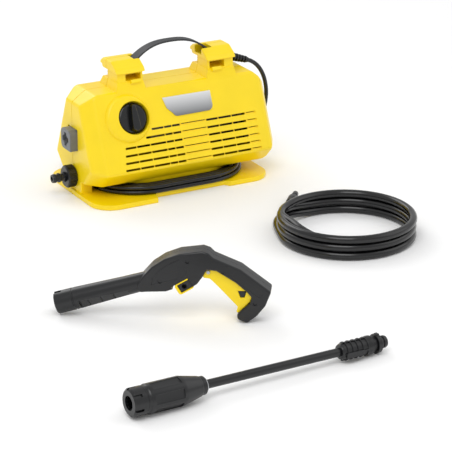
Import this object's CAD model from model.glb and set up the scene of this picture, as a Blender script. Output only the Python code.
"""Looks of the compact pressure washer with its hose, trigger gun and lance.

Laid out as an add-on, run as a script: one operator for each piece or group of like pieces.
Metres, +Z up, +X to the end with the mains cord, -Y to the front.
"""

from math import cos, pi, radians, sin

import bpy
from mathutils import Matrix, Vector


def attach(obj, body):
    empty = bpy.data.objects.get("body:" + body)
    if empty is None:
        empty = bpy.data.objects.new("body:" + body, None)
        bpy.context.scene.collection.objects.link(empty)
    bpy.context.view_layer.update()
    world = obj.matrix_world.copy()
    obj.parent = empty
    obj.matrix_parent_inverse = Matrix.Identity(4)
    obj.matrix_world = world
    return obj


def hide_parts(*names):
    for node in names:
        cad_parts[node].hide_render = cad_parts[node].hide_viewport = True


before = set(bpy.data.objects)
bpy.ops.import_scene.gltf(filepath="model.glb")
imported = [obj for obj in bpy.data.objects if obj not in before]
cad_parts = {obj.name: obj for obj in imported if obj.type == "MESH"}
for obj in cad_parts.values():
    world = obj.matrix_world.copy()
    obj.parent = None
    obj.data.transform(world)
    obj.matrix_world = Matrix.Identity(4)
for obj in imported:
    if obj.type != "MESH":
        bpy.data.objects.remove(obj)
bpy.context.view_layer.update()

bl_info = {
    "name": "Compact Pressure Washer",
    "version": (1, 0, 0),
    "blender": (4, 5, 0),
    "location": "View3D > Sidebar > Washer",
    "description": "Models the pieces of a compact pressure washer round its frame",
    "category": "Add Mesh",
}

MM = 0.001

# The body's facets, repeated from the frame's design (millimetres)
SEAM_Y = 2.0
WALL = 2.6
BODY_X = (-174.0, 153.0)
BODY_Z = (25.0, 168.0)
TOP_HALF, WIDE_HALF, WIDE_Z = 36.0, 85.0, 50.0
BOTTOM_HALF = 60.0
CORNER = ((20.0, 17.0), (14.0, 20.0))
HOOD = ((24.0, 17.0), (25.0, 22.0))
KEEL = (18.0, 23.0)
WAIST_X, WAIST_STRAIGHT, WAIST_RADIUS = -18.0, 92.0, 60.0
HUMPS = {"left": (-113.0, -63.0), "right": (46.0, 98.0)}
STRAP_ENDS, STRAP_END_Z, STRAP_APEX_Z, STRAP_Y = (-73.0, 64.0), 206.0, 232.0, -5.0
STRAP_WIDE = 21.0
SWITCH_X, SWITCH_Z = -94.0, 128.0
AXIS_Z = 93.0
INLET = (-184.0, 0.0, 31.0)
ROWS_Z = (108.0, 97.0, 86.0, 75.0, 64.5, 54.5)
REAR_SCREWS = ((-140, 60), (120, 60), (-140, 140), (112, 140))
ROWS_START = (-66.0, -78.0, -116.0, -118.0, -120.0, -122.0)

# Mains cord: exit, relief, the free run, the winding and the tail
CORD_EXIT = Vector((98.6, 14, 187)) * MM
CORD_DOWN = [(147.2, 14, 171.2), (154, 14, 168.2), (162.8, 14, 161.8), (170.8, 14, 152.4), (177, 14, 140.4),
             (181, 14, 126.4), (182.6, 14, 111), (181.6, 14.5, 96), (179, 16, 81), (175, 19.5, 66),
             (169.5, 25, 52), (162, 32.5, 39.5), (152.5, 41, 29), (142, 50.5, 21.6), (130, 60.2, 17.8),
             (117, 69.5, 16.2), (104, 77.2, 15.1), (92, 83.4, 14.4)]
CORD_ONTO_WAIST = [(79, 87.4, 16.4), (65, 88.8, 18.6), (50, 87.4, 20.2), (38, 84.8, 20.3)]
CORD_LAYERS = [(82.4, 19.5), (75.2, 19.5), (68.0, 19.5), (68.0, 12.2), (75.2, 12.2), (82.4, 12.2),
               (90.2, 12.0)]
CORD_TAIL = [(8, 90.2, 12), (0, 93, 11.6), (-8, 96.8, 10), (-16, 101.4, 7.4), (-24, 106.4, 5),
             (-32, 111, 3.9), (-41, 114.8, 3.8), (-50, 117.6, 4.6), (-58, 119.4, 7), (-65, 120.4, 9.6),
             (-72, 121, 11)]

# High-pressure hose: polar points (radius, degrees, height) round the coil's centre
COIL_CENTRE = Vector((108, -363, 0)) * MM
COIL_RADIUS, COIL_TURNS = 99.0, 3
OUTER_TAIL = [(112.6, 127, 6.4), (115.2, 120.2, 6.4), (118.9, 113.9, 6.4), (123.6, 108.2, 6.4),
              (129, 103.4, 6.6), (135.2, 99.5, 7.1), (141.8, 96.4, 8)]
INNER_TAIL = [(85.4, 170, 30.4), (85, 179, 29.6), (84.3, 188, 27.8), (83.4, 197, 25.3), (82.4, 206, 22.4),
              (81.2, 215, 19.3), (79.8, 224, 16.2), (78.2, 233, 13.3), (76.4, 242, 10.8), (74.4, 251, 8.9),
              (72.2, 260, 7.9), (69.8, 269, 7.7), (67.2, 278, 8)]

# Places of the gun and the lance
GUN = Matrix.Translation((-0.392, -0.425, 0)) @ Matrix.Rotation(radians(-33.65), 4, "Z")
GUN_SIDE = GUN @ Matrix.Rotation(pi / 2, 4, "X")
BARREL_RISE = radians(16.8)
SOCKET = GUN @ Matrix.Translation((173.5 * MM, 0, 51.5 * MM)) @ Matrix.Rotation(radians(-32), 4, "Y")
LANCE_DROP = radians(1.1)
LANCE = (Matrix.Translation((-0.455, -0.767, (19.5 * cos(LANCE_DROP) + 80 * sin(LANCE_DROP)) * MM))
         @ Matrix.Rotation(radians(3.2), 4, "Z") @ Matrix.Rotation(pi / 2 + LANCE_DROP, 4, "Y"))


# ---------------------------------------------------------------- properties

class WasherSizes(bpy.types.PropertyGroup):
    """Sizes that a user of the add-on would change."""

    body_round: bpy.props.FloatProperty(
        name="Body edge radius", description="Rounding of the moulded body's edges", default=0.0042,
        unit="LENGTH")
    seam: bpy.props.FloatProperty(name="Shell seam", description="Gap that shows between the half shells",
                                  default=0.0011, unit="LENGTH")
    cord: bpy.props.FloatProperty(
        name="Cord diameter", description="Outer diameter of the mains cord", default=0.007, unit="LENGTH")
    hose: bpy.props.FloatProperty(
        name="Hose diameter", description="Outer diameter of the high-pressure hose", default=0.0124,
        unit="LENGTH")


class WasherColours(bpy.types.PropertyGroup):
    """Colours as sRGB hex values."""

    yellow: bpy.props.StringProperty(name="Casing", description="Yellow moulded ABS", default="#FFDE00")
    black: bpy.props.StringProperty(name="Fittings", description="Black glass-filled nylon",
                                    default="#0E0F12")
    grey: bpy.props.StringProperty(name="Collar", description="Grey ABS of the outlet collar",
                                   default="#6E7073")
    rubber: bpy.props.StringProperty(name="Hose", description="Black PVC of hose and cord", default="#0B0B0D")
    strap: bpy.props.StringProperty(name="Strap", description="Dark grey elastomer strap", default="#303235")


# ---------------------------------------------------------------- modelling helpers

def pick(piece=None):
    """Leaves edit mode, deselects everything, then selects one piece."""
    if bpy.context.object and bpy.context.object.mode != "OBJECT":
        bpy.ops.object.mode_set(mode="OBJECT")
    bpy.ops.object.select_all(action="DESELECT")
    if piece:
        piece.select_set(True)
        bpy.context.view_layer.objects.active = piece


def edit(piece):
    """Enters edit mode with everything selected."""
    pick(piece)
    bpy.ops.object.mode_set(mode="EDIT")
    bpy.ops.mesh.select_all(action="SELECT")


def new_piece(name):
    """Names the primitive just added and bakes its place into its mesh."""
    piece = bpy.context.object
    piece.name = name
    bpy.ops.object.transform_apply(location=True, rotation=True, scale=True)
    return piece


def set_down(piece, place=None):
    """Moves a piece's mesh to its place and turns its faces outwards."""
    pick(piece)
    if place is not None:
        piece.data.transform(place)
    edit(piece)
    bpy.ops.mesh.remove_doubles(threshold=0.00001)
    bpy.ops.mesh.normals_make_consistent(inside=False)
    pick()
    return piece


def box(name, low, high, place=None):
    """A block between two corners in millimetres."""
    low, high = Vector(low) * MM, Vector(high) * MM
    pick()
    bpy.ops.mesh.primitive_cube_add(size=1, location=(low + high) / 2, scale=high - low)
    return set_down(new_piece(name), place)


def turned(name, stations, place=None, sides=48, hollow=False):
    """A circle drawn out through (radius, height) stations in millimetres, up the outer side.

    A hollow piece comes back down its bore to where it starts."""
    (radius, height), *rest = stations
    pick()
    bpy.ops.mesh.primitive_circle_add(vertices=sides, radius=radius * MM, location=(0, 0, height * MM),
                                      fill_type="NOTHING" if hollow else "NGON")
    piece = new_piece(name)
    edit(piece)
    for wide, high in rest + ([stations[0]] if hollow else []):
        bpy.ops.mesh.extrude_region_move(TRANSFORM_OT_translate={"value": (0, 0, (high - height) * MM)})
        scale = wide / radius
        bpy.ops.transform.resize(value=(scale, scale, 1), center_override=(0, 0, high * MM))
        radius, height = wide, high
    return set_down(piece, place)


def plate(name, outline, thick, place=None):
    """A flat outline in millimetres, extruded both ways from its plane."""
    pick()
    bpy.ops.mesh.primitive_circle_add(vertices=len(outline), radius=0.01, fill_type="NGON")
    piece = new_piece(name)
    for corner, (x, y) in zip(piece.data.vertices, outline):
        corner.co = (x * MM, y * MM, -thick * MM / 2)
    edit(piece)
    bpy.ops.mesh.extrude_region_move(TRANSFORM_OT_translate={"value": (0, 0, thick * MM)})
    return set_down(piece, place)


def modify(piece, kind, **settings):
    """Adds one modifier with its settings and applies it."""
    pick(piece)
    step = piece.modifiers.new(kind.lower(), kind)
    for key, value in settings.items():
        setattr(step, key, value)
    bpy.ops.object.modifier_apply(modifier=step.name)
    return piece


def rounded(piece, width, segments=3, angle=30):
    return modify(piece, "BEVEL", width=width * MM, segments=segments, limit_method="ANGLE",
                  angle_limit=radians(angle), harden_normals=False)


def combine(piece, tool, operation):
    modify(piece, "BOOLEAN", operation=operation, object=tool, solver="EXACT")
    bpy.data.objects.remove(tool)
    return piece


def cut(piece, *tools):
    for tool in tools:
        combine(piece, tool, "DIFFERENCE")
    return piece


def join(piece, *tools):
    for tool in tools:
        combine(piece, tool, "UNION")
    return piece


def grouped(name, pieces):
    """Joins separate pieces into one object without merging their surfaces."""
    pick()
    for piece in pieces:
        piece.select_set(True)
    bpy.context.view_layer.objects.active = pieces[0]
    if len(pieces) > 1:
        bpy.ops.object.join()
    pieces[0].name = name
    return pieces[0]


def copied(piece, name, place):
    made = piece.copy()
    made.data = piece.data.copy()
    made.data.transform(place)
    made.name = name
    bpy.context.scene.collection.objects.link(made)
    return made


def finish(piece, skin, body, slot, *nodes, angle=32):
    """Gives a piece its material, its shading, its body and the nodes that it stands for."""
    piece.data.materials.clear()
    piece.data.materials.append(skin)
    if piece.type == "MESH":
        pick(piece)
        bpy.ops.object.shade_smooth_by_angle(angle=radians(angle))
        modify(piece, "WEIGHTED_NORMAL", mode="FACE_AREA", weight=50, keep_sharp=True)
    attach(piece, body)
    if nodes:
        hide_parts(*nodes)
    pick()
    return piece


def arc(centre, radius, first, last, steps):
    turns = [radians(first + (last - first) * step / steps) for step in range(steps + 1)]
    return [(centre[0] + radius * cos(a), centre[1] + radius * sin(a)) for a in turns]


def along(direction, point):
    """Local +Z along a direction, at a point."""
    return Matrix.Translation(point) @ Vector(direction).to_track_quat("Z", "Y").to_matrix().to_4x4()


def along_x(x, y=0.0, z=AXIS_Z):
    return Matrix.Translation((x * MM, y * MM, z * MM)) @ Matrix.Rotation(pi / 2, 4, "Y")


def side_view(x):
    """An outline's (x, y) becomes (Y, Z), extruded along X."""
    return Matrix.Translation((x * MM, 0, 0)) @ Matrix(((0, 0, 1, 0), (1, 0, 0, 0), (0, 1, 0, 0),
                                                        (0, 0, 0, 1)))


FRONT_NORMAL = Vector((0, -(BODY_Z[1] - WIDE_Z), WIDE_HALF - TOP_HALF)).normalized()


def on_front(x, z, off=0.0):
    """Local Z leaves the sloped front, local X is +X and local Y climbs the slope."""
    y = -TOP_HALF - (BODY_Z[1] - z) * (WIDE_HALF - TOP_HALF) / (BODY_Z[1] - WIDE_Z)
    climb = FRONT_NORMAL.cross(Vector((1, 0, 0)))
    turn = Matrix((Vector((1, 0, 0)), climb, FRONT_NORMAL)).transposed().to_4x4()
    return Matrix.Translation(Vector((x, y, z)) * MM) @ turn @ Matrix.Translation((0, 0, off * MM))


def smooth_line(route, spacing):
    """Evenly spaced points on a Catmull-Rom curve through a route."""
    knots = [Vector(p) for p in route]
    knots = [2 * knots[0] - knots[1], *knots, 2 * knots[-1] - knots[-2]]
    dense = []
    for a, b, c, d in zip(knots, knots[1:], knots[2:], knots[3:]):
        for step in range(12):
            t = step / 12
            dense.append(0.5 * (2 * b + (c - a) * t + (2 * a - 5 * b + 4 * c - d) * t * t
                                + (3 * b - a - 3 * c + d) * t ** 3))
    dense.append(knots[-2])
    total = sum((q - p).length for p, q in zip(dense, dense[1:]))
    count = max(2, round(total / spacing))
    line, walked, target = [dense[0]], 0.0, total / count
    for p, q in zip(dense, dense[1:]):
        length = (q - p).length
        while walked + length >= target and len(line) < count:
            line.append(p.lerp(q, (target - walked) / length))
            target += total / count
        walked += length
    return [*line, dense[-1]]


def tube(name, line, radius):
    """A round curve object along a line of points."""
    data = bpy.data.curves.new(name, "CURVE")
    data.dimensions = "3D"
    data.bevel_depth = radius
    data.bevel_resolution = 5
    data.use_fill_caps = True
    spline = data.splines.new("POLY")
    spline.points.add(len(line) - 1)
    for target, point in zip(spline.points, line):
        target.co = (*point, 1.0)
    spline.use_smooth = True
    piece = bpy.data.objects.new(name, data)
    bpy.context.scene.collection.objects.link(piece)
    return piece


# ---------------------------------------------------------------- materials

def linear(value):
    """An sRGB hex value as a linear colour."""
    parts = [int(value[i:i + 2], 16) / 255 for i in (1, 3, 5)]
    return (*[p / 12.92 if p <= 0.04045 else ((p + 0.055) / 1.055) ** 2.4 for p in parts], 1.0)


def node(tree, kind, links=(), **settings):
    """Adds a node; settings name sockets or attributes, links are (output, input name)."""
    made = tree.nodes.new(kind)
    for key, value in settings.items():
        if key in made.inputs:
            made.inputs[key].default_value = value
        else:
            setattr(made, key, value)
    for output, socket in links:
        tree.links.new(output, made.inputs[socket])
    return made


def base_material(name, **settings):
    """A Principled material with its uniform values on the shader's own sockets."""
    made = bpy.data.materials.get(name)
    if made:
        return made, None, None
    made = bpy.data.materials.new(name)
    made.use_nodes = True
    shader = made.node_tree.nodes["Principled BSDF"]
    for key, value in settings.items():
        shader.inputs[key.replace("_", " ")].default_value = value
    return made, made.node_tree, shader


def grained(name, colour, rough, grain_mm, bump, tint=0.06, mottle_mm=40.0, **settings):
    """Moulded material: fine grain in the bump, slow mottle in colour and gloss."""
    made, tree, shader = base_material(name, Roughness=rough, **settings)
    if tree is None:
        return made
    where = node(tree, "ShaderNodeTexCoord").outputs["Object"]
    grain = node(tree, "ShaderNodeTexNoise", [(where, "Vector")], Scale=1 / (grain_mm * MM), Detail=3.0)
    mottle = node(tree, "ShaderNodeTexNoise", [(where, "Vector")], Scale=1 / (mottle_mm * MM), Detail=2.0)
    deep = tuple(c * (1 - tint) for c in linear(colour)[:3]) + (1.0,)
    ramp = node(tree, "ShaderNodeValToRGB", [(mottle.outputs["Fac"], "Fac")])
    ramp.color_ramp.elements[0].position, ramp.color_ramp.elements[1].position = 0.35, 0.65
    ramp.color_ramp.elements[0].color, ramp.color_ramp.elements[1].color = deep, linear(colour)
    tree.links.new(ramp.outputs["Color"], shader.inputs["Base Color"])
    gloss = node(tree, "ShaderNodeMapRange", [(grain.outputs["Fac"], "Value")],
                 **{"To Min": rough - 0.05, "To Max": rough + 0.05})
    tree.links.new(gloss.outputs["Result"], shader.inputs["Roughness"])
    relief = node(tree, "ShaderNodeBump", [(grain.outputs["Fac"], "Height")], Strength=bump,
                  Distance=0.1 * MM)
    tree.links.new(relief.outputs["Normal"], shader.inputs["Normal"])
    return made


def abs_yellow():
    """Injection-moulded ABS, self-coloured: satin, with a very fine spark-eroded grain."""
    return grained("moulded_abs_yellow", bpy.context.scene.washer_colours.yellow, 0.34, 0.5, 0.12, tint=0.05,
                   mottle_mm=60, IOR=1.53)


def nylon_black():
    """Glass-filled nylon, moulded: near black, semi-matt, with an eroded texture of about 0.6 mm."""
    return grained("moulded_nylon_black", bpy.context.scene.washer_colours.black, 0.3, 0.6, 0.22, tint=0.25,
                   mottle_mm=25, IOR=1.53)


def gloss_black():
    """Polished ABS in black for the knob: broad soft highlights, hardly any grain."""
    return grained("polished_abs_black", "#0E0F11", 0.2, 0.4, 0.06, tint=0.15, mottle_mm=20, IOR=1.53)


def abs_grey():
    """Moulded grey ABS of the quick-release collar: satin."""
    return grained("moulded_abs_grey", bpy.context.scene.washer_colours.grey, 0.38, 0.5, 0.15, tint=0.1,
                   mottle_mm=12, IOR=1.53)


def strap_elastomer():
    """Thermoplastic elastomer of the carry strap: matt and a little greyer where it is flexed."""
    return grained("elastomer_strap", bpy.context.scene.washer_colours.strap, 0.55, 0.8, 0.4, tint=0.25,
                   mottle_mm=18, IOR=1.5)


def pvc_cord():
    """Extruded PVC sheath of the mains cord: satin black."""
    return grained("extruded_pvc_cord", bpy.context.scene.washer_colours.rubber, 0.26, 0.9, 0.1, tint=0.3,
                   mottle_mm=14, IOR=1.52)


def pvc_hose():
    """Smooth extruded PVC of the hose: glossy black with long highlights."""
    return grained("extruded_pvc_hose", bpy.context.scene.washer_colours.rubber, 0.2, 1.2, 0.05, tint=0.3,
                   mottle_mm=30, IOR=1.54)


def badge_foil():
    """Satin silver foil on the badge: metallic, darker to its lower edge."""
    made, tree, shader = base_material("silver_foil", Metallic=0.75, Roughness=0.34)
    if tree:
        where = node(tree, "ShaderNodeTexCoord").outputs["Object"]
        parts = node(tree, "ShaderNodeSeparateXYZ", [(where, "Vector")])
        # The tone falls over the badge's 28 mm of height
        fall = node(tree, "ShaderNodeMapRange", [(parts.outputs["Z"], "Value")],
                    **{"From Min": 0.120, "From Max": 0.152})
        ramp = node(tree, "ShaderNodeValToRGB", [(fall.outputs["Result"], "Fac")])
        ramp.color_ramp.elements[0].color = linear("#77797C")
        ramp.color_ramp.elements[1].color = linear("#EDEEEF")
        tree.links.new(ramp.outputs["Color"], shader.inputs["Base Color"])
        lengthwise = node(tree, "ShaderNodeMapping", [(where, "Vector")], Scale=(60, 4000, 4000))
        streak = node(tree, "ShaderNodeTexNoise", [(lengthwise.outputs["Vector"], "Vector")], Scale=1.0)
        relief = node(tree, "ShaderNodeBump", [(streak.outputs["Fac"], "Height")], Strength=0.08,
                      Distance=0.05 * MM)
        tree.links.new(relief.outputs["Normal"], shader.inputs["Normal"])
    return made


def metal(name, colour, rough, brush_mm, bump=0.1):
    """Machined or cast metal: fine tool marks in gloss and relief."""
    made, tree, shader = base_material(name, Metallic=1.0, Roughness=rough, Base_Color=linear(colour))
    if tree:
        where = node(tree, "ShaderNodeTexCoord").outputs["Object"]
        marks = node(tree, "ShaderNodeTexNoise", [(where, "Vector")], Scale=1 / (brush_mm * MM), Detail=4.0)
        gloss = node(tree, "ShaderNodeMapRange", [(marks.outputs["Fac"], "Value")],
                     **{"To Min": rough - 0.1, "To Max": rough + 0.12})
        tree.links.new(gloss.outputs["Result"], shader.inputs["Roughness"])
        tint = node(tree, "ShaderNodeValToRGB", [(marks.outputs["Fac"], "Fac")])
        tint.color_ramp.elements[0].color = tuple(c * 0.7 for c in linear(colour)[:3]) + (1.0,)
        tint.color_ramp.elements[1].color = linear(colour)
        tree.links.new(tint.outputs["Color"], shader.inputs["Base Color"])
        relief = node(tree, "ShaderNodeBump", [(marks.outputs["Fac"], "Height")], Strength=bump,
                      Distance=0.05 * MM)
        tree.links.new(relief.outputs["Normal"], shader.inputs["Normal"])
    return made


def ground_steel():
    """Ground and hardened steel: bright, with fine marks."""
    return metal("ground_steel", "#C4C6C9", 0.28, 0.3)


def stator_iron():
    """Stacked electrical sheet and deep-drawn can: dull grey iron."""
    return metal("electrical_iron", "#6A6B6E", 0.5, 0.8, 0.3)


def winding_copper():
    """Enamelled copper wire: reddish, glossy."""
    return metal("enamelled_copper", "#B96A3C", 0.3, 0.6, 0.4)


def cast_alloy():
    """Die-cast aluminium: light grey with a sandy skin."""
    return metal("die_cast_aluminium", "#A9ABAE", 0.48, 0.7, 0.35)


def turned_brass():
    """Turned brass fittings: warm yellow and bright."""
    return metal("turned_brass", "#C9A24E", 0.27, 0.4)


def filter_gauze():
    """Woven stainless gauze of the inlet filter, threads about 0.5 mm apart."""
    return metal("steel_gauze", "#8E9296", 0.4, 0.5, 0.5)


NODE_SKINS = {
    nylon_black: ("rotary_switch", "cooling_fan", "inlet_port"),
    abs_grey: ("capacitor",),
    pvc_cord: ("inlet_pipe",),
    ground_steel: ("front_bearing", "rear_bearing", "motor_shaft", "swash_plate", "piston_1", "piston_2",
                   "piston_3", "piston_spring_1", "piston_spring_2", "piston_spring_3", "trigger_pin",
                   "valve_rod", "neck_ring"),
    stator_iron: ("motor_can", "stator_core"),
    winding_copper: ("rotor_core", "commutator"),
    cast_alloy: ("motor_front_cap", "motor_rear_cap", "pump_housing", "pump_head"),
    turned_brass: ("outlet_tube", "unloader_valve", "valve_body", "lance_socket", "nozzle_insert"),
    filter_gauze: ("inlet_filter",),
}


# ---------------------------------------------------------------- cords

def waist_turns():
    """Six turns of the cord round the waist; each eases to the next layer on the right-hand end."""
    left, right = WAIST_X - WAIST_STRAIGHT / 2, WAIST_X + WAIST_STRAIGHT / 2
    line = []
    for (half, high), (next_half, next_high) in zip(CORD_LAYERS, CORD_LAYERS[1:]):
        line += [(right + (left - right) * i / 5, half, high) for i in range(5)]
        line += [(*p, high) for p in arc((left, 0), half, 90, 270, 12)]
        line += [(left + (right - left) * i / 5, -half, high) for i in range(1, 5)]
        for i in range(13):
            t = i / 13
            ease = t * t * (3 - 2 * t)
            wide = half + (next_half - half) * ease
            turn = radians(-90 + 180 * t)
            line.append((right + wide * cos(turn), wide * sin(turn), high + (next_high - high) * ease))
    line += [(right, CORD_LAYERS[-1][0], 12)]
    return line


def polar(radius, angle, high):
    return COIL_CENTRE + Vector((radius * cos(radians(angle)), radius * sin(radians(angle)), high)) * MM


def hose_turns():
    """Three stacked turns from 150 degrees; the lower two climb onto the next over their last fifth."""
    pitch, low, start, steps = 12.5, 6.4, 150, 28
    climb_from, loose = 0.82, 0.48
    line = []
    for index in range(COIL_TURNS * steps):
        turn, part = divmod(index / steps, 1)
        rise = min(max((part - climb_from) / (1 - climb_from), 0), 1) if turn < COIL_TURNS - 1 else 0
        high = low + pitch * (turn + rise * rise * (3 - 2 * rise))
        sway = loose * sin(2 * pi * (part + 0.37 * turn)) if 0.05 < part < 0.95 else 0
        line.append((COIL_RADIUS + sway, start + 360 * index / steps, high))
    return line


class WASHER_OT_mains_cord(bpy.types.Operator):
    """Mains cord with its ribbed strain relief and plug"""

    bl_idname = "washer.mains_cord"
    bl_label = "Mains cord"

    def execute(self, context):
        sizes = context.scene.washer_sizes
        relief = self.strain_relief()
        route = [Vector(p) * MM for p in [*CORD_DOWN, *CORD_ONTO_WAIST, *waist_turns(), *CORD_TAIL]]
        line = smooth_line(route, sizes.cord)
        cord = tube("mains_cord", line, sizes.cord / 2)
        finish(cord, pvc_cord(), "machine", "cord_rubber", "power_cord", "cord_winding", "cord_tail")
        plug = finish(self.plug(), pvc_cord(), "machine", "cord_rubber", "power_plug")
        return {"FINISHED"}

    def strain_relief(self):
        """Ribbed sleeve, swept from the hump and tapering to the cord."""
        start, end = CORD_EXIT, Vector(CORD_DOWN[0]) * MM
        way = (end - start).normalized()
        span = (end - start).length / MM
        stations = [(9, 0), (9, 2)]
        ribs = 8
        for rib in range(ribs):
            base = 3 + rib * (span - 6) / ribs
            outer = 7.9 - 2.6 * rib / ribs
            stations += [(outer - 1.5, base), (outer - 1.5, base + 1.6), (outer, base + 2.1),
                         (outer, base + 4.4), (outer - 1.5, base + 4.9)]
        stations += [(4.6, span - 2.2), (4.4, span - 0.4)]
        relief = turned("strain_relief_skin", stations, along(way, start), 32)
        return finish(relief, pvc_cord(), "machine", "cord_rubber", "strain_relief")

    def plug(self):
        """Flat two-pin plug: a waisted grip that widens to its face."""
        place = Matrix.Translation(Vector((-73.2, 121, 11.2)) * MM) @ Matrix.Rotation(radians(177), 4, "Z")
        shape = [(0, -5.6), (9, -7.4), (15, -13), (20, -17.4), (37.6, -17.8), (37.6, 17.8), (20, 17.4),
                 (15, 13), (9, 7.4), (0, 5.6)]
        body = rounded(plate("power_plug_skin", shape, 21.6, place), 3.4, 4, 20)
        pieces = [body]
        for side in (-1, 1):
            spot = place @ Matrix.Translation((0, side * 9.5 * MM, 0)) @ Matrix.Rotation(pi / 2, 4, "Y")
            pieces.append(turned(f"plug_pin_{side}", [(2.4, 36), (2.4, 55.6), (1.6, 57)], spot, 20))
            pieces.append(turned(f"plug_boot_{side}", [(3.6, 36), (3.6, 40.5), (3.0, 41.2)], spot, 20))
        return grouped("power_plug_skin", pieces)


class WASHER_OT_hose(bpy.types.Operator):
    """High-pressure hose in its coil, with the fittings on both ends"""

    bl_idname = "washer.hose"
    bl_label = "High-pressure hose"

    def execute(self, context):
        sizes = context.scene.washer_sizes
        points = [polar(*p) for p in [*OUTER_TAIL[::-1], (106.5, 138, 6.4), *hose_turns()[1:],
                                      (96.5, 150, 31.4), (90.5, 160, 31.2), *INNER_TAIL]]
        line = smooth_line(points, sizes.hose * 0.7)
        hose = tube("pressure_hose", line, sizes.hose / 2)
        finish(hose, pvc_hose(), "hose", "hose_rubber", "hose_coil", "hose_outer_end", "hose_inner_end")
        ends = [self.fitting("hose_outlet_fitting", OUTER_TAIL), self.fitting("hose_gun_fitting", INNER_TAIL)]
        return {"FINISHED"}

    def fitting(self, name, tail):
        """Crimped ferrule with a shoulder, an O-ring groove and a nose."""
        end, before = polar(*tail[-1]), polar(*tail[-2])
        way = end - before
        way.z = 0
        way.normalize()
        stations = [(7.0, 0), (7.8, 0.8), (7.8, 4), (7.2, 4.6), (7.2, 6), (7.8, 6.6), (7.8, 10),
                    (7.2, 10.6), (7.2, 12), (7.8, 12.6), (7.8, 23), (7.2, 24.6), (4.8, 25.6), (4.8, 32.4),
                    (3.7, 33), (3.7, 35.4), (4.8, 36), (4.8, 44.8), (4.1, 46)]
        made = turned(f"{name}_skin", stations, along(way, end + way * 1.2 * MM), 32)
        return finish(made, nylon_black(), "hose", "fitting_plastic", name)


# ---------------------------------------------------------------- main unit

def body_planes(inset):
    """Planes of the faceted body: (point, outward normal)."""
    planes = []
    for side in (-1, 1):
        upper = Vector((0, side * (BODY_Z[1] - WIDE_Z), WIDE_HALF - TOP_HALF)).normalized()
        lower = Vector((0, side * (WIDE_Z - BODY_Z[0]), BOTTOM_HALF - WIDE_HALF)).normalized()
        edge = Vector((0, side * WIDE_HALF, WIDE_Z))
        for face in (upper, lower):
            planes.append((edge, face))
            for end, way, (length, depth) in zip(BODY_X, (-1, 1), CORNER):
                corner = edge + Vector((end - way * length, 0, 0))
                planes.append((corner, (Vector((way * depth, 0, 0)) + face * length).normalized()))
    for end, way, (length, drop) in zip(BODY_X, (-1, 1), HOOD):
        planes.append((Vector((end - way * length, 0, BODY_Z[1])),
                       Vector((way * drop, 0, length)).normalized()))
    length, rise = KEEL
    planes.append((Vector((BODY_X[1] - length, 0, BODY_Z[0])), Vector((rise, 0, -length)).normalized()))
    return [((point - normal * inset) * MM, normal) for point, normal in planes]


def faceted(name, inset):
    """A block cut down to the body's facets."""
    piece = box(name, (BODY_X[0] + inset, -WIDE_HALF * 1.2, BODY_Z[0] + inset),
                (BODY_X[1] - inset, WIDE_HALF * 1.2, BODY_Z[1] - inset))
    for point, normal in body_planes(inset):
        edit(piece)
        bpy.ops.mesh.bisect(plane_co=point, plane_no=normal, use_fill=True, clear_outer=True,
                            threshold=0.000001)
    return set_down(piece)


def base_outline():
    front = [(-178, 0), *arc((-141, -65), 37, 180, 270, 14), (-76, -102), (-70, -80), (53, -80), (59, -89),
             *arc((103, -53), 36, 270, 360, 14), (139, 0)]
    return front + [(x, -y) for x, y in reversed(front[1:-1])]


def stadium(radius, straight, centre, steps=20):
    return (arc((centre + straight / 2, 0), radius, -90, 90, steps)
            + arc((centre - straight / 2, 0), radius, 90, 270, steps))


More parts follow.
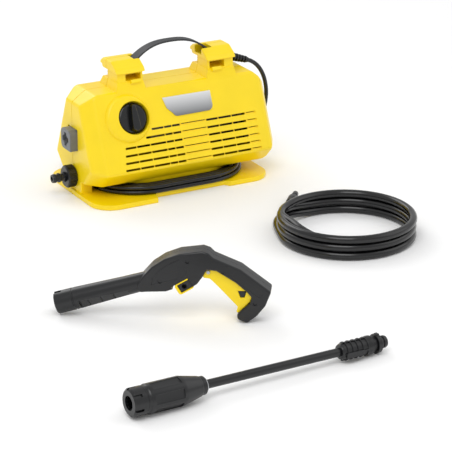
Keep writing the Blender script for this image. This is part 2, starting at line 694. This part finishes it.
class WASHER_OT_half_shells(bpy.types.Operator):
    """Front and rear yellow shells with base, humps, switch boss and slots"""

    bl_idname = "washer.half_shells"
    bl_label = "Half shells"

    def execute(self, context):
        sizes = context.scene.washer_sizes
        blank = rounded(faceted("shell_blank", 0), sizes.body_round / MM, 4, 12)
        base = plate("base_plate", base_outline(), 8, Matrix.Translation((0, 0, 4 * MM)))
        join(blank, rounded(base, 1.6, 3, 40))
        join(blank, plate("waist", stadium(WAIST_RADIUS, WAIST_STRAIGHT, WAIST_X), 24,
                          Matrix.Translation((0, 0, 17 * MM))))
        join(blank, rounded(box("end_boss", (-174, -26, 4), (-154, 26, 29)), 2, 3))
        for side in HUMPS:
            join(blank, *self.hump(side))
        face = on_front(SWITCH_X, SWITCH_Z)
        boss = [(39, -5), (38.4, 0), (37, 2.6), (34.4, 4.8), (32.6, 5.4)]
        join(blank, turned("switch_boss", boss, on_front(SWITCH_X - 9, SWITCH_Z + 0.5), 96))
        self.hollow(blank, face)
        self.openings(blank, face)
        gap = sizes.seam / MM / 2
        for name, low, high in (("front_shell", -130, SEAM_Y - gap), ("rear_shell", SEAM_Y + gap, 130)):
            shell = copied(blank, f"{name}_skin", Matrix())
            combine(shell, box("half_space", (-210, low, -5), (210, high, 240)), "INTERSECT")
            if name == "front_shell":
                self.slots(shell)
            else:
                self.rear_details(shell)
            finish(shell, abs_yellow(), "machine", "casing_yellow", name, angle=24)
        bpy.data.objects.remove(blank)
        return {"FINISHED"}

    def hump(self, side):
        """Trunk with the toothed clip behind, pitched roof and flared foot."""
        start, end = HUMPS[side]
        middle, wide = (start + end) / 2, end - start
        trunk = [(-35, 158), (-31, 197), (7, 199), (3, 193.5), (4.6, 191.6), (3, 189.8), (4.6, 187.9),
                 (3, 186.1), (4.6, 184.2), (3.6, 182.6), (7, 179), (20, 178), (25, 173), (29, 158)]
        roof = [(-37, 196), (-31.5, 203), (-15, 212.6), (14, 212.6), (24, 206), (24, 200), (19, 202),
                (16, 196)]
        body = rounded(plate(f"hump_{side}", trunk, wide - 6, side_view(middle)), 0.8, 2, 50)
        top = rounded(plate(f"roof_{side}", roof, wide, side_view(middle)), 2.2, 3, 20)
        foot = box(f"foot_{side}", (start - 3, -38, 160), (end + 3, 31, 181))
        edit(foot)
        bpy.ops.mesh.select_mode(type="FACE")
        pick(foot)
        for vertex in foot.data.vertices:
            if vertex.co.z > 0.18:
                vertex.co.x = middle * MM + (vertex.co.x - middle * MM) * (wide - 5.4) / (wide + 6)
                vertex.co.y = -34 * MM if vertex.co.y < 0 else 20.5 * MM
        rounded(foot, 1.2, 2, 15)
        return body, top, foot

    def hollow(self, blank, face):
        cavity = faceted("cavity", WALL)
        join(cavity, plate("waist_cavity", stadium(WAIST_RADIUS - WALL, WAIST_STRAIGHT, WAIST_X), 30,
                           Matrix.Translation((0, 0, 18 * MM))))
        join(cavity, box("boss_cavity", (-171.4, -12, 20), (-156.6, 12, 31)))
        cut(cavity, turned("switch_cup", [(30.6, -11.6), (30.6, 20)], face, 64))
        cut(blank, cavity)

    def openings(self, blank, face):
        """Knob recess, outlet window, inlet hole, strap notches, pockets with their hook tongues."""
        cut(blank, turned("knob_recess", [(25.8, -9), (25.8, 3.6), (26.6, 5), (30, 12)], face, 96))
        cut(blank, turned("stem_hole", [(4.4, -20), (4.4, 0)], face, 24))
        cut(blank, box("outlet_window", (-180, -17.5, 75.5), (-165, 17.5, 110.5)))
        cut(blank, turned("inlet_hole", [(11.3, -5), (11.3, 6)], along_x(BODY_X[0], 0, 31), 48))
        for side, (start, end) in HUMPS.items():
            inner, away, strap = (end, -1, STRAP_ENDS[0]) if side == "left" else (start, 1, STRAP_ENDS[1])
            low, high = sorted((strap + away, inner - away * 4))
            cut(blank, box(f"notch_{side}", (low, -16.1, 201.6), (high, 6.1, 225)))
            ends = sorted((inner + away * 6.5, inner + away * 33))
            cut(blank, rounded(box(f"pocket_{side}", (ends[0], -44, 182.6), (ends[1], -3, 193.6)), 1.0, 2))
            middle = sum(ends) / 2
            tongue = [(-26, 178), (-37.4, 178.6), (-38.6, 181), (-36.6, 185.4), (-34, 184.6), (-31, 182.4),
                      (-26, 182)]
            join(blank, rounded(plate(f"tongue_{side}", tongue, 17, side_view(middle + away * -2.5)), 0.6, 2))

    def slots(self, shell):
        """Shallow grooves along the rows, with through slots between ribs in them."""
        for row, height in enumerate(ROWS_Z):
            first = ROWS_START[row]
            place = on_front(0, height)
            cut(shell, box("groove", (first, -1.7, -1.7), (120, 1.7, 6), place))
            cut(shell, box("slit", (-13, 0.3, -9), (29, 1.45, -1.0), place))
            cut(shell, box("slit", (104, 0.3, -9), (118.6, 1.45, -1.0), place))
            marks = [first, *[x for x in (-96, -72, -44, -30) if x > first + 6], -15]
            for start, end in [*zip(marks, marks[1:]), (31, 53), (53, 77), (77, 102)]:
                cut(shell, box("slot", (start + 0.7, -1.6, -9), (end - 0.7, 1.6, -1.0), place))

    def rear_details(self, shell):
        """Screw wells and a vent field in the rear."""
        turn = Matrix.Scale(-1, 4, Vector((0, 1, 0)))
        for x, z in REAR_SCREWS:
            well = turned("screw_well", [(5.2, -1.4), (5.2, 8)], turn @ on_front(x, z), 32)
            cut(shell, set_down(well))
        for row in range(5):
            for start in (-60, -14, 32):
                tool = box("rear_slot", (start, -1.5, -9), (start + 38, 1.5, 6),
                           turn @ on_front(0, 120 - 11 * row))
                cut(shell, tool)


class WASHER_OT_shell_screws(bpy.types.Operator):
    """Cross-head screws in the wells of the rear shell"""

    bl_idname = "washer.shell_screws"
    bl_label = "Shell screws"

    def execute(self, context):
        turn = Matrix.Rotation(pi, 4, "Z")
        heads = []
        for x, z in REAR_SCREWS:
            place = turn @ on_front(-x, z, -1.1)
            head = turned("screw_head", [(3.9, 0), (3.9, 0.9), (3.2, 1.5), (1.8, 1.8)], place, 32)
            for angle in (0, pi / 2):
                cut(head, box("cross", (-2, -0.4, 0.9), (2, 0.4, 3), place @ Matrix.Rotation(angle, 4, "Z")))
            heads.append(head)
        finish(grouped("shell_screw_heads", heads), ground_steel(), "machine", "steel")
        return {"FINISHED"}


class WASHER_OT_carry_strap(bpy.types.Operator):
    """Flexible strap arched between the humps"""

    bl_idname = "washer.carry_strap"
    bl_label = "Carry strap"

    def execute(self, context):
        left, right = STRAP_ENDS
        middle, half = (left + right) / 2, (right - left) / 2

        def height(x):
            return STRAP_END_Z + (STRAP_APEX_Z - STRAP_END_Z) * (1 - abs((x - middle) / half) ** 2.6)

        steps = 40
        line = [left + (right - left) * (0.5 - 0.5 * cos(pi * i / steps)) for i in range(steps + 1)]
        pick()
        bpy.ops.mesh.primitive_cube_add(size=1)
        strap = new_piece("carry_strap_skin")
        edit(strap)
        bpy.ops.mesh.select_all(action="DESELECT")
        pick(strap)
        for face in strap.data.polygons:
            face.select = face.normal.x > 0.9
        for vertex in strap.data.vertices:
            vertex.co.x = 0 if vertex.co.x < 0 else 1
        bpy.ops.object.mode_set(mode="EDIT")
        for _ in range(2, steps + 1):
            bpy.ops.mesh.extrude_region_move(TRANSFORM_OT_translate={"value": (1, 0, 0)})
        pick(strap)
        for vertex in strap.data.vertices:
            x = line[round(vertex.co.x)]
            share = abs((x - middle) / half)
            wide = STRAP_WIDE * (0.7 + 0.3 * share ** 1.5)
            thick = 2.8 * (1 + 0.35 * share ** 3)
            inset = 1.5 * (1 if x < middle else -1) if share > 0.999 and vertex.co.z < 0 else 0
            high = height(x) - (thick - abs(inset) * 0.8 if vertex.co.z < 0 else 0)
            vertex.co = Vector((x + inset, STRAP_Y + (wide / 2 if vertex.co.y > 0 else -wide / 2), high)) * MM
        rounded(set_down(strap), 0.9, 3, 50)
        finish(strap, strap_elastomer(), "machine", "strap_rubber", "carry_strap")
        return {"FINISHED"}


class WASHER_OT_switch_knob(bpy.types.Operator):
    """Rotary knob: round skirt under a tapered blade grip"""

    bl_idname = "washer.switch_knob"
    bl_label = "Switch knob"

    def execute(self, context):
        face = on_front(SWITCH_X, SWITCH_Z)
        knob = turned("switch_knob_skin", [(3.9, -12.5), (3.9, -7.5), (23.8, -7.5), (24.4, -7), (24.4, -2.4),
                                           (23.6, -0.4), (21.8, 0.8), (20, 1)], face, 96)
        shape = [(-9.6, -19), (0, -22.8), (9.6, -19), (9.8, -8), (7.2, 10), (5, 20.6), (0, 22.8), (-5, 20.6),
                 (-7.2, 10), (-9.8, -8)]
        grip = plate("knob_grip", shape, 15, face @ Matrix.Translation((0, 0, 4.5 * MM)))
        for vertex in grip.data.vertices:
            spot = face.inverted() @ vertex.co
            if spot.z > 9 * MM:
                vertex.co = face @ Vector((spot.x * 0.62, spot.y * 0.93, spot.z))
        rounded(grip, 2.2, 4, 20)
        join(knob, grip)
        finish(knob, gloss_black(), "switch_knob", "black_plastic", "switch_knob")
        return {"FINISHED"}


class WASHER_OT_badge(bpy.types.Operator):
    """Blank silver badge with a raised rim"""

    bl_idname = "washer.badge"
    bl_label = "Badge"

    def execute(self, context):
        shape = [(-39, 15.5), (46, 15.5), (46, -7), *arc((37, -7), 9, 0, -80, 8), (-16, -16.5),
                 *arc((-17, -8.5), 8, -100, -160, 8), (-34, -2)]
        plaque = plate("badge_skin", shape, 1.2, on_front(0, 136, 0.9))
        rounded(plaque, 0.45, 3, 50)
        finish(plaque, badge_foil(), "machine", "badge_silver", "badge")
        return {"FINISHED"}


class WASHER_OT_outlet_collar(bpy.types.Operator):
    """Square quick-release collar with a cross-shaped opening"""

    bl_idname = "washer.outlet_collar"
    bl_label = "Outlet collar"

    def execute(self, context):
        collar = box("outlet_collar_skin", (-187, -17, 76), (-169, 17, 110))
        edit(collar)
        bpy.ops.mesh.select_mode(type="EDGE")
        bpy.ops.mesh.select_all(action="DESELECT")
        pick(collar)
        for edge in collar.data.edges:
            a, b = (collar.data.vertices[i].co for i in edge.vertices)
            lengthwise = abs(a.y - b.y) < MM and abs(a.z - b.z) < MM
            square_corner = a.y < 0 and a.z < 0.09
            edge.select = lengthwise and not square_corner
        bpy.ops.object.mode_set(mode="EDIT")
        bpy.ops.mesh.bevel(offset=9 * MM, segments=8, affect="EDGES")
        pick(collar)
        rounded(collar, 1.1, 3, 40)
        place = along_x(-190)
        cut(collar, turned("collar_bore", [(8.5, -1), (8.5, 30)], place, 48))
        for angle in (0, pi / 2):
            arm = box("arm", (-4, -11, -2), (4, 11, 9), place @ Matrix.Rotation(angle, 4, "Z"))
            cut(collar, arm)
        finish(collar, abs_grey(), "outlet_collar", "grey_plastic", "outlet_collar")
        return {"FINISHED"}


class WASHER_OT_water_inlet(bpy.types.Operator):
    """Knurled union nut and the grooved hose nipple in it"""

    bl_idname = "washer.water_inlet"
    bl_label = "Water inlet"

    def execute(self, context):
        place = along_x(*INLET)
        nut = turned("inlet_nut_skin", [(8.3, -3.2), (8.3, -6), (15.6, -6), (17, -4.6), (17, 8.6),
                                        (16.2, 9.5), (11.2, 9.5), (11.2, -3.2)], place, 72, hollow=True)
        lugs = []
        for index in range(30):
            spot = place @ Matrix.Rotation(2 * pi * index / 30, 4, "Z")
            lugs.append(rounded(box("knurl", (16.4, -1.0, -4.2), (18, 1.0, 8.2), spot), 0.6, 1, 40))
        nut = grouped("inlet_nut_skin", [nut, *lugs])
        finish(nut, nylon_black(), "inlet_nut", "black_plastic", "inlet_nut")
        nipple = turned("inlet_nipple_skin", [(3.6, -0.3), (3.6, -28), (6.4, -28), (7.4, -24.4),
                                              (7.2, -22.4), (6.2, -21.4), (6.2, -18.6), (7.6, -17.6),
                                              (7.6, -15.2), (6.2, -13.6), (6.2, -10), (7.6, -9),
                                              (7.6, -3.1), (10.6, -2.8), (10.6, -0.3)][::-1], place, 48,
                        hollow=True)
        finish(nipple, nylon_black(), "machine", "black_plastic", "inlet_nipple")
        return {"FINISHED"}


# ---------------------------------------------------------------- trigger gun

GUN_BODY = [(112, 40), (120, 41), (148, 42.6), (160, 47), (165, 44), (184, 50), (191, 55), (198, 65),
            (204, 76), (217, 75), (243, 59), (258, 46), (265, 38), (263, 30), (251, 19), (245, 12),
            (246, 5), (259, 0), (273, 11.5), (284, 26), (292, 47), (250, 78.5), (213, 94), (207, 100),
            (198, 103), (167, 98.5), (146, 90), (129, 78), (116, 63), (108, 50)]
GUN_HOLLOW = [(130, 48), (148, 46), (160, 52), (186, 56), (194, 60), (196, 58), (236, 10), (247, 9.5),
              (262, 16.5), (268, 16), (279, 27), (287, 45), (247, 75), (210, 90), (205, 96), (197, 99),
              (168, 94), (149, 86), (133, 75), (124, 62)]
TRIGGER = [(197, 70), (199, 63), (208, 62), (221, 49), (246, 22), (244, 14), (247, 13), (252, 18), (263, 30),
           (266, 38), (262, 47), (244, 63), (219, 79), (204, 80)]


GUN_HALF = 15


def barrel_axis():
    way = Vector((cos(BARREL_RISE), 0, sin(BARREL_RISE)))
    return GUN @ along(way, Vector((-sin(BARREL_RISE) * 15.6, 0, cos(BARREL_RISE) * 15.6)) * MM)


class WASHER_OT_gun_shells(bpy.types.Operator):
    """Left and right halves of the gun with barrel, dome and handle"""

    bl_idname = "washer.gun_shells"
    bl_label = "Gun shells"

    def execute(self, context):
        body = rounded(plate("gun_blank", GUN_BODY, 2 * GUN_HALF, GUN_SIDE), 4.4, 5, 38)
        axis = barrel_axis()
        barrel = turned("barrel", [(14.6, 0), (15.6, 1), (15.6, 25), (14.9, 25.6), (14.9, 27), (15.5, 27.6),
                                   (13.4, 100), (13, 130), (9, 146)], axis, 64)
        join(body, barrel)
        tools = [turned("muzzle_bore", [(11.6, -1), (11.6, 40)], axis, 48),
                 turned("barrel_bore", [(9.6, 39), (9.6, 112)], axis, 48)]
        hollow = plate("gun_hollow", GUN_HOLLOW, 24.4, GUN_SIDE)
        tools += [hollow, box("socket_window", (-16.8, -20, -8.2), (10.4, 20, 8.2), SOCKET)]
        trigger_gap = [(194, 62), (206, 58), (240, 20), (242, 9), (250, 8), (262, 28), (258, 40), (214, 70),
                       (202, 74)]
        tools.append(plate("trigger_gap", trigger_gap, 21, GUN_SIDE))
        for angle in (215, -35):
            flank = axis @ Matrix.Rotation(radians(angle), 4, "Z")
            tools.append(box("barrel_flat", (12.3, -9, 34), (20, 9, 104), flank))
            for spot in (46, 64, 82):
                tools.append(box("barrel_groove", (11.1, -6.6, spot), (20, 6.6, spot + 1.4), flank))
        for side in (-1, 1):
            notch = axis @ Matrix.Rotation(side * pi / 2, 4, "Z")
            tools.append(box("bayonet_slot", (11, -3.2, -2), (18, 3.2, 11), notch))
        pad = [(128, 52), (176, 66), (177, 76), (172, 79), (131, 64)]
        panel = [(166, 92), (150, 84), (137, 74), (129, 62), (131, 60.6), (138.6, 72.4), (151, 82),
                 (166.6, 90)]
        line = [(232, 70.6), (276, 38), (281, 45), (244, 72.6)]
        for side in (-1, 1):
            flank = GUN_SIDE @ Matrix.Translation((0, 0, side * GUN_HALF * MM))
            tools.append(rounded(plate("grip_pad", pad, 1.2, flank), 0.3, 1))
            tools.append(plate("panel_line", panel, 1.4, flank))
            tools.append(rounded(plate("grip_panel", line, 1.2, flank), 0.3, 1))
        for x, z in ((140, 58), (178, 88), (226, 74), (270, 30)):
            well = GUN_SIDE @ Matrix.Translation((x * MM, z * MM, 0))
            tools.append(turned("screw_well", [(3.1, 13.4), (3.1, 20)], well, 24))
        cut(body, *tools)
        for name, low, high in (("gun_right_shell", -60, -0.2), ("gun_left_shell", 0.2, 60)):
            half = copied(body, f"{name}_skin", Matrix())
            combine(half, box("half_space", (-20, low, -40), (320, high, 140), GUN), "INTERSECT")
            finish(half, nylon_black(), "gun", "black_plastic", name, angle=28)
        bpy.data.objects.remove(body)
        return {"FINISHED"}


class WASHER_OT_gun_controls(bpy.types.Operator):
    """Trigger, trigger lock, hose socket and its clip"""

    bl_idname = "washer.gun_controls"
    bl_label = "Gun controls"

    def execute(self, context):
        trigger = plate("trigger_skin", TRIGGER, 20, GUN_SIDE)
        rounded(trigger, 1.6, 3, 30)
        place = GUN_SIDE @ Matrix.Translation((252 * MM, 41.5 * MM, 0))
        cut(trigger, plate("lock_slot", [(-6.2, 4.6), (6.2, 4.6), (3.4, -5.4), (-2.4, -5.4)], 30, place))
        cut(trigger, turned("pin_hole", [(2.6, -20), (2.6, 20)], GUN_SIDE @ Matrix.Translation(
            (206 * MM, 72 * MM, 0)), 24))
        finish(trigger, abs_yellow(), "trigger", "casing_yellow", "trigger")
        lock = rounded(plate("trigger_lock_skin", [(-5.8, 4.2), (5.8, 4.2), (3.1, -5), (-2.1, -5)], 20.6,
                             place), 1.5, 3)
        finish(lock, nylon_black(), "trigger_lock", "black_plastic", "trigger_lock")
        socket = rounded(box("hose_socket_skin", (-8, -14, -6), (10, 14, 6), SOCKET), 1.0, 2)
        cut(socket, turned("socket_bore", [(3.4, 6), (3.4, 20)], SOCKET @ Matrix.Rotation(pi / 2, 4, "X"),
                           32))
        finish(socket, nylon_black(), "gun", "black_plastic", "hose_socket")
        clip = self.clip()
        finish(clip, abs_yellow(), "hose_clip", "casing_yellow", "hose_clip")
        return {"FINISHED"}

    def clip(self):
        outline = [(10, 6.2), (10, 8), (-9, 8), (-10.8, 7), (-11.8, 5), (-11.8, -5), (-10.8, -7), (-9, -8),
                   (10, -8), (10, -6.2), (-8.1, -6.2), (-8.1, 6.2)]
        place = SOCKET @ Matrix.Rotation(pi / 2, 4, "X")
        return rounded(plate("hose_clip_skin", outline, 30.6, place), 0.5, 2, 50)


# ---------------------------------------------------------------- lance

class WASHER_OT_lance(bpy.types.Operator):
    """Nozzle head, tube, ribbed adapter and bayonet plug"""

    bl_idname = "washer.lance"
    bl_label = "Lance"

    def execute(self, context):
        self.head()
        tube_skin = turned("lance_tube_skin", [(5.9, 62), (5.9, 330)], LANCE, 48)
        finish(tube_skin, nylon_black(), "lance", "black_plastic", "lance_tube")
        self.adapter()
        self.bayonet()
        return {"FINISHED"}

    def head(self):
        outer = [(9.5, 0), (16, 0), (17.6, 1.2), (18.8, 3), (18.8, 19), (18, 20), (18, 22), (18.8, 23),
                 (19.5, 25), (19.5, 73), (18.8, 76), (13.5, 100), (12.4, 101.4), (12.2, 107), (11.4, 108),
                 (8, 108), (8, 24), (9.5, 22)]
        head = turned("nozzle_head_skin", outer, LANCE, 96, hollow=True)
        tools = []
        for index in range(6):
            turn = LANCE @ Matrix.Rotation(radians(60 * index + 15), 4, "Z")
            tools.append(rounded(box("flat", (17.6, -6.4, 29), (24, 6.4, 70), turn), 1.2, 2))
            tools.append(box("notch", (16.4, -2.0, -2), (24, 2.0, 12),
                             turn @ Matrix.Rotation(radians(30), 4, "Z")))
        cut(head, *tools)
        teeth = []
        for index in range(12):
            turn = LANCE @ Matrix.Rotation(radians(30 * index), 4, "Z")
            teeth.append(box("tooth", (8.2, -1.2, 2.5), (10.2, 1.2, 20), turn))
        head = grouped("nozzle_head_skin", [head, *teeth])
        finish(head, nylon_black(), "nozzle_head", "black_plastic", "nozzle_head")

    def adapter(self):
        body = turned("lance_adapter_skin", [(7.6, 314), (9.6, 314.8), (11.2, 318), (11.2, 352), (13, 358),
                                             (13, 363), (12.2, 364)], LANCE, 64)
        parts = [body]
        for turn in (0, 90, 180, 270):
            spot = LANCE @ Matrix.Rotation(radians(turn), 4, "Z")
            parts.append(rounded(box("flange", (9, -1.1, 318), (13, 1.1, 359), spot), 0.3, 1))
        for height in (322, 330, 338, 346, 354):
            spot = LANCE @ Matrix.Translation((0, 0, height * MM))
            parts.append(turned("rib", [(12.2, -0.9), (12.8, -0.4), (12.8, 0.4), (12.2, 0.9)], spot, 48))
        for side in (-1, 1):
            parts.append(rounded(box("bridge", (-2.2, side * 10.4 - 3.4, 319), (6, side * 10.4 + 1.2, 345),
                                     LANCE), 0.8, 2))
        finish(grouped("lance_adapter_skin", parts), nylon_black(), "lance", "black_plastic", "lance_adapter")

    def bayonet(self):
        stations = [(9.4, 364.3), (9.4, 370), (12.6, 370.6), (13.2, 371.2), (13.2, 376), (12.6, 376.6),
                    (8.5, 377), (8.5, 379.2), (7.4, 379.8), (7.4, 382.2), (8.5, 382.8), (8.5, 386),
                    (7.6, 388), (3, 388)]
        plug = turned("bayonet_plug_skin", stations, LANCE, 64)
        for side in (0, pi):
            spot = LANCE @ Matrix.Rotation(side, 4, "Z")
            join(plug, rounded(box("lug", (6, -3, 371), (14.2, 3, 376.2), spot), 0.5, 2))
        finish(plug, nylon_black(), "lance", "black_plastic", "bayonet_plug")


# ---------------------------------------------------------------- what the frame shows itself

class WASHER_OT_inner_materials(bpy.types.Operator):
    """Materials for the motor, pump, valve and other pieces shown as the frame has them"""

    bl_idname = "washer.inner_materials"
    bl_label = "Inner materials"

    def execute(self, context):
        for skin, names in NODE_SKINS.items():
            for name in names:
                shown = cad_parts[name]
                shown.data.materials.clear()
                shown.data.materials.append(skin())
        return {"FINISHED"}


# ---------------------------------------------------------------- stage

class WASHER_OT_stage(bpy.types.Operator):
    """White floor, soft lights and the camera"""

    bl_idname = "washer.stage"
    bl_label = "Stage"

    def execute(self, context):
        pick()
        bpy.ops.mesh.primitive_plane_add(size=30, location=(0, 0, 0))
        floor = new_piece("floor")
        floor.data.materials.append(self.floor_skin())
        self.light("key", (-1.1, -1.6, 2.4), (0, -0.2, 0.05), 1.6, 24)
        self.light("fill", (1.9, -1.2, 1.6), (0, -0.2, 0.1), 2.2, 9)
        self.light("back", (-0.4, 2.2, 1.9), (0, -0.1, 0.1), 1.8, 20)
        world = bpy.data.worlds.new("studio")
        world.use_nodes = True
        back = world.node_tree.nodes["Background"]
        back.inputs["Color"].default_value = (1, 1, 1, 1)
        back.inputs["Strength"].default_value = 0.72
        context.scene.world = world
        bpy.ops.object.camera_add(location=(-1.5013, -2.9363, 1.1783))
        camera = context.object
        camera.data.lens = 172.0
        camera.data.sensor_width = 36
        aim = Vector((-0.0318, -0.2412, 0)) - camera.location
        camera.rotation_euler = aim.to_track_quat("-Z", "Y").to_euler()
        context.scene.camera = camera
        context.scene.view_settings.view_transform = "Standard"
        return {"FINISHED"}

    def floor_skin(self):
        """White seamless paper, matt, with a very slow tone."""
        made, tree, shader = base_material("white_paper", Roughness=0.9)
        if tree:
            where = node(tree, "ShaderNodeTexCoord").outputs["Object"]
            tone = node(tree, "ShaderNodeTexNoise", [(where, "Vector")], Scale=2.0)
            ramp = node(tree, "ShaderNodeValToRGB", [(tone.outputs["Fac"], "Fac")])
            ramp.color_ramp.elements[0].color = linear("#FCFCFC")
            ramp.color_ramp.elements[1].color = linear("#FFFFFF")
            tree.links.new(ramp.outputs["Color"], shader.inputs["Base Color"])
        return made

    def light(self, name, place, aim, size, power):
        bpy.ops.object.light_add(type="AREA", location=place)
        made = bpy.context.object
        made.name = name
        made.data.size = size
        made.data.energy = power
        made.rotation_euler = (Vector(aim) - Vector(place)).to_track_quat("-Z", "Y").to_euler()


# ---------------------------------------------------------------- add-on

STEPS = ("stage", "mains_cord", "hose", "half_shells", "shell_screws", "carry_strap", "switch_knob", "badge",
         "outlet_collar", "water_inlet", "gun_shells", "gun_controls", "lance", "inner_materials")


class WASHER_PT_panel(bpy.types.Panel):
    """Buttons that build each group of pieces"""

    bl_idname = "WASHER_PT_panel"
    bl_label = "Pressure Washer"
    bl_space_type = "VIEW_3D"
    bl_region_type = "UI"
    bl_category = "Washer"

    def draw(self, context):
        sizes, colours = context.scene.washer_sizes, context.scene.washer_colours
        for key in ("body_round", "seam", "cord", "hose"):
            self.layout.prop(sizes, key)
        for key in ("yellow", "black", "grey", "rubber", "strap"):
            self.layout.prop(colours, key)
        for step in STEPS:
            self.layout.operator(f"washer.{step}")


CLASSES = (WasherSizes, WasherColours, WASHER_OT_stage, WASHER_OT_mains_cord, WASHER_OT_hose,
           WASHER_OT_half_shells, WASHER_OT_shell_screws, WASHER_OT_carry_strap, WASHER_OT_switch_knob,
           WASHER_OT_badge, WASHER_OT_outlet_collar, WASHER_OT_water_inlet, WASHER_OT_gun_shells,
           WASHER_OT_gun_controls, WASHER_OT_lance, WASHER_OT_inner_materials, WASHER_PT_panel)


def register():
    for entry in CLASSES:
        bpy.utils.register_class(entry)
    bpy.types.Scene.washer_sizes = bpy.props.PointerProperty(type=WasherSizes)
    bpy.types.Scene.washer_colours = bpy.props.PointerProperty(type=WasherColours)


def unregister():
    del bpy.types.Scene.washer_colours
    del bpy.types.Scene.washer_sizes
    for entry in reversed(CLASSES):
        bpy.utils.unregister_class(entry)


def main():
    register()
    for step in STEPS:
        getattr(bpy.ops.washer, step)()


if __name__ == "__main__":
    main()
